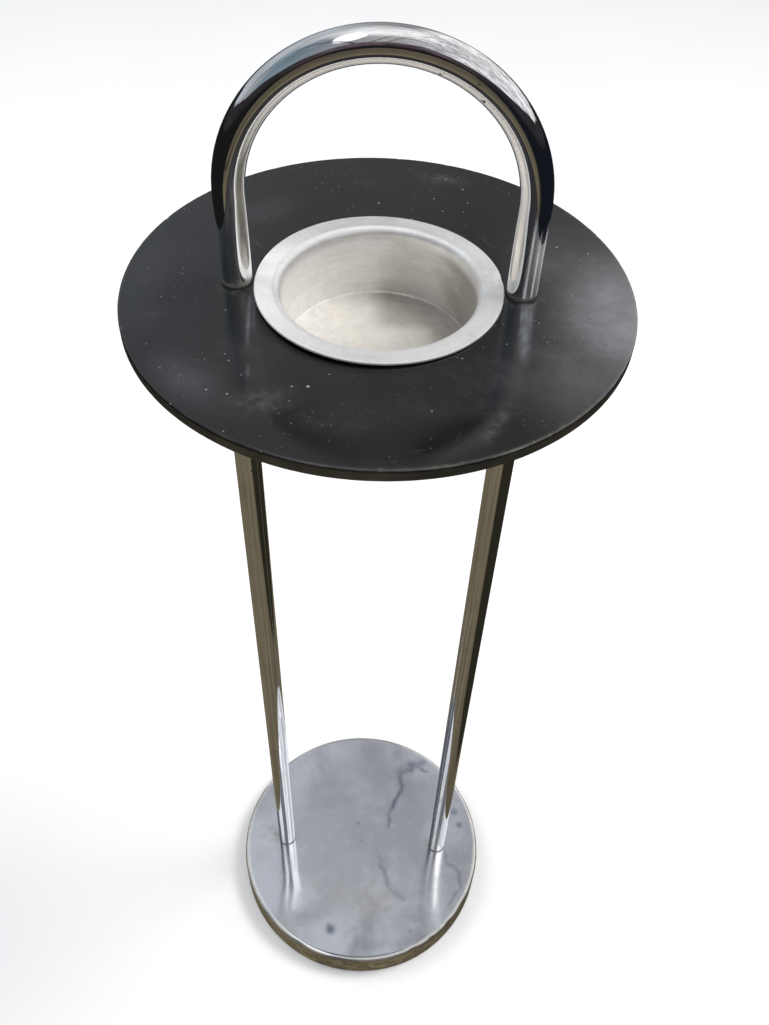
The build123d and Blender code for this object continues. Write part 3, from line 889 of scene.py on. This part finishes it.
# ---------------------------------------------------------------- table
# soft patches: x, y, two half sizes (mm), turn (degrees), strength
TABLE_SMUDGES = [
    (31.3, 108.2, 13, 6, -8, 0.75), (-49, -91.4, 13, 9, 20, 0.9), (55.5, -100.0, 3.2, 9, -25, 1.5),
    (31, 110, 8, 5, -8, 0.8), (108, -29, 15, 26, 15, 0.85), (92, -50, 20, 18, 30, 0.5),
    (-108.7, -31.5, 4, 1.6, 0, 0.5), (-12, 100, 10, 4, -20, 0.18), (10, 112, 9, 4, -25, 0.15),
    (30, -88, 26, 8, 10, 0.2), (-60, -60, 22, 16, 0, 0.2), (60, -70, 30, 20, 20, 0.25),
    (-20, -104, 18, 6, -10, 0.3), (-95, 20, 24, 30, 0, 0.12), (85, 60, 25, 20, 0, 0.15)]
TABLE_FILM = [
    (124, -16, 30, 44, 8, 0.20), (104, -66, 34, 30, -35, 0.060), (96, 22, 26, 30, 0, 0.055),
    (-84, -80, 22, 12, -45, 0.040), (-66, 66, 22, 12, 45, 0.018), (-120, -10, 14, 50, 0, 0.016),
    (4, -96, 40, 14, 0, 0.006)]
# painted reflections in front of each hoop foot: x, start y, end y, width (mm), strength, slope
# dx/dy
TABLE_STREAKS = [
    (-64.5, -13, -46, 0.9, 0.62, -0.097), (-62.0, -13, -36, 0.6, 0.4, -0.097),
    (-58.5, -66, -76, 0.8, 0.30, -0.097), (74.5, -10, -50, 2.4, 0.56, 0.086),
    (72.6, -10, -32, 0.8, 0.78, 0.086), (77.0, -9, -28, 0.7, 0.62, 0.086)]


def table_profile():
    hole = 54.3 * MM
    chamfer = 0.6 * MM
    edge = 1.2 * MM
    band = 12 * MM                          # outer band with closer rings
    return outline(
        line((hole + chamfer, TABLE_TOP), (TABLE_R - band, TABLE_TOP), 86),
        line((TABLE_R - band, TABLE_TOP), (TABLE_R - edge, TABLE_TOP), 14),
        arc((TABLE_R - edge, TABLE_TOP - edge), edge, 90, 0, 8),
        line((TABLE_R, TABLE_TOP - edge), (TABLE_R, TABLE_UNDER + edge), 6),
        arc((TABLE_R - edge, TABLE_UNDER + edge), edge, 0, -90, 4),
        line((TABLE_R - edge, TABLE_UNDER), (hole, TABLE_UNDER), 7),
        line((hole, TABLE_UNDER), (hole, TABLE_TOP - chamfer), 2),
        line((hole, TABLE_TOP - chamfer), (hole + chamfer, TABLE_TOP), 2))


def build_table():
    verts, faces = lathe(table_profile(), 770)
    radius = np.hypot(verts[:, 0], verts[:, 1])
    upper = ease(verts[:, 2], TABLE_TOP - 2.5 * MM, TABLE_TOP - 0.5 * MM)
    verts[:, 2] += upper * noise(verts * [1, 1, 0], 0.11, seed=71, octaves=2) * 0.00004
    rim = ease(radius, TABLE_R - 3 * MM, TABLE_R)
    verts[:, :2] *= (1 + rim * noise(verts, 0.02, seed=73, octaves=3) * 0.0002)[:, None]
    edge, smudge, streak = np.zeros((3, len(verts)))
    rng = np.random.default_rng(77)
    for _ in range(30):                     # small chips along the top edge
        angle = rng.uniform(0, 2 * math.pi)
        width = rng.uniform(0.6, 1.5) * MM
        depth = rng.uniform(0.08, 0.3) * MM
        x, y = np.array([math.cos(angle), math.sin(angle)]) * (TABLE_R - 0.3 * MM)
        distance = np.sqrt((verts[:, 0] - x) ** 2 + (verts[:, 1] - y) ** 2
                           + (verts[:, 2] - TABLE_TOP) ** 2 * 2.0)
        chip = bell(distance, width) * rim
        verts[:, :2] *= (1 - chip * depth / TABLE_R)[:, None]
        verts[:, 2] -= chip * depth * 0.5 * upper
        edge = np.maximum(edge, 0.35 * chip)
    # painted highlight: a bright line along the edge, strongest at the front right
    around = bearing(verts)
    worn = bell(radius - (TABLE_R - 0.35 * MM), 0.45 * MM)
    worn *= bell(verts[:, 2] - (TABLE_TOP - 0.35 * MM), 0.5 * MM)
    worn *= 0.10 + 0.60 * bell(around + 55, 38) + 0.25 * bell(around + 5, 20)
    edge = np.maximum(edge, worn * (0.65 + 0.5 * noise(verts, 0.012, seed=79, octaves=3)))

    top = ease(verts[:, 2], TABLE_TOP - 1.0 * MM, TABLE_TOP - 0.3 * MM)
    for *place, strength in TABLE_SMUDGES:
        smudge = np.maximum(smudge, strength * oval(verts, *place))
    smudge *= (0.75 + 0.45 * noise(verts, 0.02, seed=81, octaves=4)) * top
    # painted shadow under the bowl's rim at the front left
    gap = 0.97 * bell(radius - RIM_R, 3.6 * MM) * bell(around + 118, 50)
    for side, lean in ((-1, -0.75), (1, 0.35)):     # grime, and a painted shadow line, round each hoop foot
        distance = plan_distance(verts, side * HOOP_R, 0) - TUBE_R
        ring = 0.35 * np.exp(-np.clip(distance, 0, 1) / (2.5 * MM)) * top
        smudge = np.maximum(smudge, ring)
        around_foot = np.arctan2(verts[:, 1], verts[:, 0] - side * HOOP_R)
        front = 0.5 + 0.5 * np.cos(around_foot + math.pi / 2 + lean)
        patchy = np.clip(0.35 + 0.9 * noise(verts, 0.007, seed=87 + side, octaves=3), 0, 1)
        ring = 0.26 * front ** 2 * bell(distance - 2.6 * MM, 2.2 * MM) * top * patchy
        edge = np.maximum(edge, ring)
        gap = np.maximum(gap, 0.30 * bell(distance, 0.6 * MM))
    # dry dust film, thickest at the right
    film = 0.003 + np.zeros(len(verts))
    for *place, strength in TABLE_FILM:
        film = np.maximum(film, strength * oval(verts, *place))
    film *= (1 + 0.14 * noise(verts * [1, 1, 0], 0.035, seed=83, octaves=4)) * top
    x, y = verts[:, 0], verts[:, 1]
    # painted reflections of the uprights, in front of each hoop foot
    for start_x, start_y, end_y, width, strength, slope in TABLE_STREAKS:
        within = ease(y, (end_y - 12) * MM, (end_y + 12) * MM)
        within *= ease(y, (start_y + 4) * MM, (start_y - 6) * MM)
        distance = x - start_x * MM - slope * (y - start_y * MM)
        streak = np.maximum(streak, strength * within * bell(distance, width * MM))
    streak *= top * (0.8 + 0.3 * noise(verts, 0.008, seed=85, octaves=2))
    make_piece("table_disc", verts, faces, TABLE_BLACK, "stand", "table_black", "table_top",
               smudge=smudge, streak=streak, film=film, edge=edge, gap=gap * top)


build_table()

# ---------------------------------------------------------------- ash bowl
BOWL_SHEET = 1.5 * MM
MOUTH_R, BOWL_FLOOR_R = 50.7 * MM, 49.8 * MM
BOWL_FLOOR_Z = BOWL_UNDER + BOWL_SHEET
LIP_BEND, CORNER_BEND = 4.0 * MM, 0.9 * MM
LIP_R = MOUTH_R + LIP_BEND                  # where the lip's bend meets the flat rim
LIP_Z = RIM_Z - LIP_BEND
CORNER_Z = BOWL_FLOOR_Z + CORNER_BEND
# dark marks: bearing (degrees), radius, z (m), width and height (mm), strength
BOWL_MARKS = [
    (7.5, RIM_R - 1.6 * MM, RIM_Z, 1.1, 1.4, 1.0), (97.0, MOUTH_R, RIM_Z - 6.5 * MM, 0.5, 1.6, 0.8),
    (92, 30 * MM, BOWL_FLOOR_Z, 0.8, 0.8, 0.5), (176, 17 * MM, BOWL_FLOOR_Z, 1.4, 1.0, 0.45)]


def bowl_profile():
    rim_edge = 0.7 * MM
    bevel = 0.3 * MM
    sheet = BOWL_SHEET
    corner = (BOWL_FLOOR_R - CORNER_BEND, CORNER_Z)
    return outline(
        line((0, BOWL_FLOOR_Z), (corner[0], BOWL_FLOOR_Z), 70),
        arc(corner, CORNER_BEND, -90, 0, 16),
        line((BOWL_FLOOR_R, CORNER_Z), (MOUTH_R, LIP_Z), 70),
        arc((LIP_R, LIP_Z), LIP_BEND, 180, 90, 18),
        line((LIP_R, RIM_Z), (RIM_R - rim_edge, RIM_Z), 30),
        arc((RIM_R - rim_edge, RIM_Z - rim_edge), rim_edge, 90, 0, 8),
        line((RIM_R, RIM_Z - rim_edge), (RIM_R, RIM_Z - sheet + bevel), 2),
        line((RIM_R, RIM_Z - sheet + bevel), (RIM_R - bevel, RIM_Z - sheet), 1),
        line((RIM_R - bevel, RIM_Z - sheet), (LIP_R, RIM_Z - sheet), 8),
        arc((LIP_R, LIP_Z), LIP_BEND - sheet, 90, 180, 8),
        line((MOUTH_R + sheet, LIP_Z), (BOWL_FLOOR_R + sheet, CORNER_Z), 20),
        arc(corner, CORNER_BEND + sheet, 0, -90, 10),
        line((corner[0], BOWL_FLOOR_Z - sheet), (0, BOWL_FLOOR_Z - sheet), 20))


def build_bowl():
    verts, faces = lathe(bowl_profile(), 324)
    x, y, z = verts.T                       # views that follow the changes to verts
    radius = np.hypot(x, y)
    around = bearing(verts)
    inner = (z > BOWL_FLOOR_Z - 0.2 * MM) & (radius < BOWL_FLOOR_R + 1.0 * MM)
    # spinning rings on the rim, the wall and the floor
    rim = (z > RIM_Z - 0.3 * MM) & (radius > LIP_R - 0.5 * MM)
    rings = (0.018 * MM * np.sin(radius / (0.62 * MM)) + 0.02 * MM * np.sin(radius / (1.9 * MM)))
    z += np.where(rim, rings, 0)
    wall = inner & (z > CORNER_Z) & (z < LIP_Z)
    rings = 0.02 * MM * np.sin(z / (0.5 * MM)) + 0.025 * MM * np.sin(z / (1.7 * MM) + 0.4)
    verts[:, :2] *= (1 + np.where(wall, rings, 0) / np.maximum(radius, 1e-6))[:, None]
    floor = inner & (z < BOWL_FLOOR_Z + 0.2 * MM)
    rings = 0.02 * MM * np.sin(radius / (1.1 * MM)) + 0.05 * MM * np.cos(radius / (9 * MM))
    z += np.where(floor, rings, 0)
    # the rim stands proud at the front left and has a small knock on the right
    outer = ease(radius, LIP_R - 2 * MM, RIM_R) * (z > RIM_Z - 3.2 * MM)
    lift = 0.80 * (0.5 + 0.5 * np.cos(np.radians(around + 125))) ** 2
    lift = lift + 0.10 * np.sin(np.radians(around * 3 + 40)) + 0.1
    z += outer * np.clip(lift, 0, 1) * MM
    knock = bell(around - 8, 3.2) * outer
    z -= knock * 0.15 * MM
    verts[:, :2] *= (1 - knock * 0.35 * MM / np.maximum(radius, 1e-3))[:, None]

    # patina on the left of the floor, ash on its right
    on_floor = np.clip(1 - (radius / (BOWL_FLOOR_R * 0.98)) ** 8, 0, 1)
    on_floor = on_floor * (z < BOWL_FLOOR_Z + 1 * MM) * inner
    patina = on_floor * (0.35 + 0.65 * ease(x, 20 * MM, -30 * MM))
    patina *= 0.8 + 0.5 * noise(verts, 0.018, seed=91, octaves=3)
    ash = on_floor * 0.30 * ease(x, 5 * MM, 38 * MM)
    ash *= 0.7 + 0.6 * noise(verts, 0.014, seed=93, octaves=3)
    for angle, mark_r, mark_z, width, height, strength in BOWL_MARKS:
        angle = math.radians(angle)
        distance = plan_distance(verts, mark_r * math.cos(angle), mark_r * math.sin(angle))
        mark = bell(distance, width * MM) * bell(z - mark_z, height * MM)
        ash = np.maximum(ash, strength * mark)
    # painted highlight: a bright line in the corner, at the back left
    bright = bell(radius - (BOWL_FLOOR_R - 0.5 * MM), 0.6 * MM) * (z < CORNER_Z) * inner
    bright *= np.exp(-(((around - 118) / 58) ** 4))
    bright *= 0.85 + 0.3 * noise(verts, 0.01, seed=99, octaves=3)
    # painted light and shade, darker on the right: the wall by direction, the floor by place
    leftness = np.cos(np.radians(around - 165))
    leftness += 0.10 * noise(verts * [1, 1, 3], 0.03, seed=95, octaves=3)
    wall_tone = 0.38 + 0.34 * ease(leftness, -0.76, -0.30) + 0.27 * ease(leftness, 0.0, 0.40)
    wobble = 1.4 * MM * noise(verts, 0.02, seed=97, octaves=3)
    # painted shadow, partly a stain, on the floor at the back and the right
    dull = ease(x + wobble, -9 * MM, 6 * MM) * ease(y + wobble, 12 * MM, 24 * MM)
    dull = np.maximum(dull, ease(x + 0.15 * y + wobble, 26 * MM, 36 * MM))
    floor_tone = (0.96 - 0.25 * ease(x, -42 * MM, -4 * MM)) * (1 - 0.46 * dull)
    floor_tone -= 0.10 * ease(x, -4 * MM, 14 * MM) * (1 - dull)
    tone = np.where(z < BOWL_FLOOR_Z + 0.5 * MM, floor_tone, wall_tone)
    below = z < BOWL_FLOOR_Z - 0.2 * MM
    outside = below | ((radius > BOWL_FLOOR_R + 1.0 * MM) & (z < LIP_Z))
    tone = np.where(outside, 0.80, tone)
    # painted light on the flat rim: a painted highlight at the left and painted shade at the back
    flat_rim = ease(radius, MOUTH_R + 2.6 * MM, MOUTH_R + 4.6 * MM) * (z > RIM_Z - 1.0 * MM)
    rim_bright = 0.85 * flat_rim * np.clip(np.cos(np.radians(around - 183)), 0, 1) ** 3
    rim_dark = 0.55 * flat_rim * bell(around - 98, 56)
    make_piece("ash_bowl_spun", verts, faces, ALUMINIUM, "bowl", "bowl_aluminium", "ash_bowl",
               patina=patina, ash=ash, bright=bright, tone=tone,
               rim_up=rim_bright, rim_dn=rim_dark)


build_bowl()

# ---------------------------------------------------------------- floor
# the ground's tone by direction, from -X round through -Y, +X, +Y and back: turn, grey
GROUND_TONES = [
    (0.0, 1.0), (0.10, 0.95), (0.17, 1.12), (0.22, 0.86), (0.27, 1.15), (0.33, 0.92),
    (0.40, 0.75), (0.50, 0.6), (0.60, 0.95), (0.75, 1.0), (0.88, 0.9), (1.0, 1.0)]


def floor_material():
    """Pale floor to the eye; in reflections it turns tan and brown, like paving in the open."""
    g = Graph(bpy.data.materials.new("floor_pale"), at_kind="NewGeometry", at_output="Position")
    x, y, _ = g.xyz()
    radius = g.radius(x, y)
    warp = (g.noise(2.0, detail=2) - 0.5) * 0.25
    warped_x = x + warp
    # lit ground: a disc round the stand and a strip to the front, both cut off at the right
    near = (radius + warp).ease(0.86, 0.70)
    strip = ((warped_x.ease(0.12, 0.0) * warped_x.ease(-0.80, -0.66))
             * (y.ease(-1.45, -1.28) * y.ease(0.0, -0.2)))
    left = (x + warp * 0.3 + y * 0.10).ease(0.215, 0.175)
    lit = left * larger(near, strip)
    # paving further off, behind the camera, with dark joints
    sideways = abs(x + 0.10) - y * -0.22
    joint = g.noise(1.0, detail=2, rough=0.6, at=g.combine(x * 0.35, y * 2.6, 0.0))
    paving = sideways.ease(0.55, 0.20) * y.ease(-0.95, -1.15) * joint.ease(0.36, 0.50)
    lit = larger(lit, paving * 0.75)
    turn = g.math("MULTIPLY_ADD", g.math("ARCTAN2", y, x), 1 / (2 * math.pi), 0.5)
    by_direction = g.ramp(turn, [(place, (grey,) * 3) for place, grey in GROUND_TONES])
    patch = g.noise(9.0, detail=4, rough=0.6, warp=0.4).ease(0.35, 0.65)
    tan = g.mix(patch, (0.150, 0.128, 0.084), (0.195, 0.168, 0.115))
    tan = g.mix(1.0, tan, by_direction, blend="MULTIPLY")
    far_right = radius.ease(0.9, 1.2) * x.ease(0.2, 0.6)
    gloom = g.mix(radius.ease(0.8, 1.1), (0.026, 0.024, 0.016), (0.0105, 0.0105, 0.011))
    gloom = gloom.coats((far_right, (0.009, 0.0105, 0.016)))
    pale = g.mix(g.noise(2.0, detail=3).ease(0.3, 0.7), (0.86, 0.86, 0.86), (0.88, 0.88, 0.875))
    reflected = g.value("Emission", Color=g.mix(lit, gloom, tan), Strength=1.0)
    direct = g.value("BsdfDiffuse", Color=pale, Roughness=0.5)
    in_reflection = g.value("LightPath", output="Is Glossy Ray")
    return g.finish(g.value("MixShader", in_reflection, direct, reflected))


def build_floor():
    half, points = 12.0, 3
    drop = 0.4 * MM
    x, y = np.meshgrid(*[np.linspace(-half, half, points)] * 2)
    verts = np.column_stack([x.ravel(), y.ravel(), np.zeros(points ** 2)])
    i = np.arange(points - 1)
    corner = (i[:, None] * points + i[None, :]).ravel()
    faces = np.column_stack([corner, corner + 1, corner + points + 1, corner + points])
    material = floor_material()
    mesh = new_mesh("floor", verts, [faces], smooth=False)
    mesh.materials.append(material)
    floor = link("floor", mesh)
    floor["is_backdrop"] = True
    floor.location.z = -drop


build_floor()


# ---------------------------------------------------------------- world
def build_world():
    """Plain white surroundings, with an overcast sky and skyline seen only in reflections."""
    world = bpy.data.worlds.new("studio")
    bpy.context.scene.world = world
    g = Graph(world, output="OutputWorld", at_output="Generated")
    x, y, up = g.xyz()
    cloud = g.noise(2.0, detail=5, rough=0.6, warp=0.5)
    small_cloud = g.noise(5.0, detail=4, rough=0.6, warp=0.4)
    # blue-grey to the left, bright to the right and overhead
    sky = g.mix(x.ease(-0.75, -0.05), (0.185, 0.255, 0.315), (0.42, 0.415, 0.44)).coats(
        (x.ease(0.05, 0.60), (0.86, 0.86, 0.90)),
        (x.ease(-0.80, -0.95), (0.40, 0.42, 0.45)))
    back = g.mix(x.ease(-0.32, -0.02), (0.52, 0.57, 0.62), (0.30, 0.30, 0.31)).coats(
        (x.ease(0.10, 0.30), (1.05, 1.05, 1.08)),
        (up.ease(0.66, 0.84), (0.80, 0.81, 0.84)))
    # seen only by light that has already bounced off one polished surface
    again = g.value("LightPath", output="Glossy Depth").ease(1.3, 1.7)
    ring = again * (up.ease(0.74, 0.87) * up.ease(0.992, 0.965))
    sky = sky.coats(
        (y.ease(-0.02, 0.30) * 0.92, back),
        (up.ease(0.84, 0.985), (1.15, 1.16, 1.18)),
        (ring * y.ease(-0.16, -0.34), (0.40, 0.40, 0.42)),
        (ring * x.ease(-0.15, -0.27), (0.22, 0.235, 0.26)),
        (ring * x.ease(0.11, 0.19), (2.25, 2.25, 2.25)))
    # cloud tones, with finer clouds to the right
    fine_cloud = g.noise(13.0, detail=4, rough=0.65, warp=0.3).ease(0.38, 0.62, to=(0.56, 1.36))
    tone = cloud.ease(0.3, 0.7, to=(0.74, 1.16)) * small_cloud.ease(0.3, 0.7, to=(0.9, 1.08))
    tone = tone * g.mix_value(x.ease(0.02, 0.25), 1.0, fine_cloud)
    sky = g.value("VectorMath", sky, settings={"operation": "SCALE"}, Scale=tone)
    # a bright oval patch of cloud, front left
    patch_x = (x + 0.30) / 0.13
    patch_y = (y + 0.36) / 0.34
    patch = (patch_x ** 2.0 + patch_y ** 2.0 + small_cloud * 0.8).ease(1.5, 1.1)
    # one thick dark cable, then three thin ones: x, slope, half width
    cable = abs((x + 0.40) + (y + 0.50) * 0.55).ease(0.016, 0.006) * y.ease(0.15, 0.0)
    sky = sky.coats(
        (patch * up.ease(0.0, 0.05), (1.7, 1.7, 1.7)),
        (cable, (0.05, 0.05, 0.06)))
    for cable_x, slope, width in ((0.07, 0.30, 0.012), (0.19, 0.34, 0.009), (-0.19, 0.55, 0.011)):
        cable = abs((x - cable_x) - (y + 0.25) * slope).ease(width, width * 0.4)
        cable = cable * (y.ease(0.05, -0.05) * up.ease(0.95, 0.85))
        sky = sky.coats((cable, (0.10, 0.09, 0.10)))
    # low dark skyline all round, highest behind the camera
    jagged = g.noise(1.0, detail=3, at=g.combine(x * 3.0, y * 3.0, 0.0))
    skyline = g.math("MULTIPLY_ADD", y, -0.15, 0.17) + (jagged - 0.5) * 0.22
    rise = abs(x + 0.02).ease(0.42, 0.15) * y.ease(0.0, -0.30)
    skyline = skyline + rise * 0.20
    below = (skyline - up).ease(-0.02, 0.02)
    leafy = g.noise(9.0, detail=4, rough=0.65, warp=0.4).ease(0.36, 0.62, to=(0.35, 1.25))
    haze = (skyline - up).ease(0.46, 0.12) * leafy
    rosy = x.ease(-0.50, -0.25) * x.ease(0.50, 0.15)
    haze_color = g.mix(rosy, (0.035, 0.032, 0.036), (0.150, 0.112, 0.134))
    reflected_color = sky.coats((below, g.mix(haze, (0.014, 0.012, 0.014), haze_color)))
    ray = g.node("LightPath")
    to_camera = Value(g, ray.outputs["Is Camera Ray"])
    in_reflection = Value(g, ray.outputs["Is Glossy Ray"])
    reflected = g.value("Background", Color=reflected_color, Strength=1.0)
    direct = g.value("Background", Color=(0.965, 0.975, 1.0),
                     Strength=g.mix_value(to_camera, 0.80, 0.71))
    g.finish(g.value("MixShader", in_reflection, direct, reflected))


build_world()


# ---------------------------------------------------------------- lights
def area_light(name, place, size, power, color):
    """Soft disc aimed at half a metre up the axis, not seen in reflections."""
    data = bpy.data.lights.new(name, "AREA")
    data.shape = "DISK"
    data.size = size
    data.energy = power
    data.color = color
    light = link(name, data)
    light.location = place
    aim = Vector((0, 0, 0.5)) - Vector(place)
    light.rotation_euler = aim.to_track_quat("-Z", "Y").to_euler()
    light.visible_glossy = False


area_light("key_soft", (1.15, 0.30, 2.5), size=1.0, power=36, color=(1.0, 0.99, 0.97))
area_light("fill_soft", (-1.2, 0.5, 2.3), size=1.4, power=14, color=(0.95, 0.97, 1.0))


# ---------------------------------------------------------------- camera and render settings
def build_camera():
    place = (0.009578, -0.418463, 1.005776)
    # radians: yaw from +Y towards +X, pitch below level, roll about the view
    yaw, pitch, roll = -0.0039, 0.8417, -0.046
    data = bpy.data.cameras.new("camera")
    camera = link("camera", data)
    forward = np.array([math.sin(yaw) * math.cos(pitch), math.cos(yaw) * math.cos(pitch),
                        -math.sin(pitch)])
    level_right = np.array([math.cos(yaw), -math.sin(yaw), 0.0])
    level_down = np.cross(forward, level_right)
    right = math.cos(roll) * level_right + math.sin(roll) * level_down
    down = -math.sin(roll) * level_right + math.cos(roll) * level_down
    pose = Matrix.Identity(4)
    for i in range(3):
        pose[i][0], pose[i][1], pose[i][2], pose[i][3] = right[i], -down[i], -forward[i], place[i]
    camera.matrix_world = pose
    data.sensor_fit = "AUTO"
    data.sensor_width = 36.0
    data.lens = 34.36858537
    data.clip_start, data.clip_end = 0.02, 60.0
    bpy.context.scene.camera = camera


build_camera()

scene = bpy.context.scene
scene.view_settings.view_transform = "Standard"
scene.view_settings.look = "None"
scene.view_settings.exposure = 0.0
scene.cycles.use_denoising = True
scene.cycles.max_bounces = 10
scene.cycles.sample_clamp_indirect = 6.0

low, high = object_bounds()
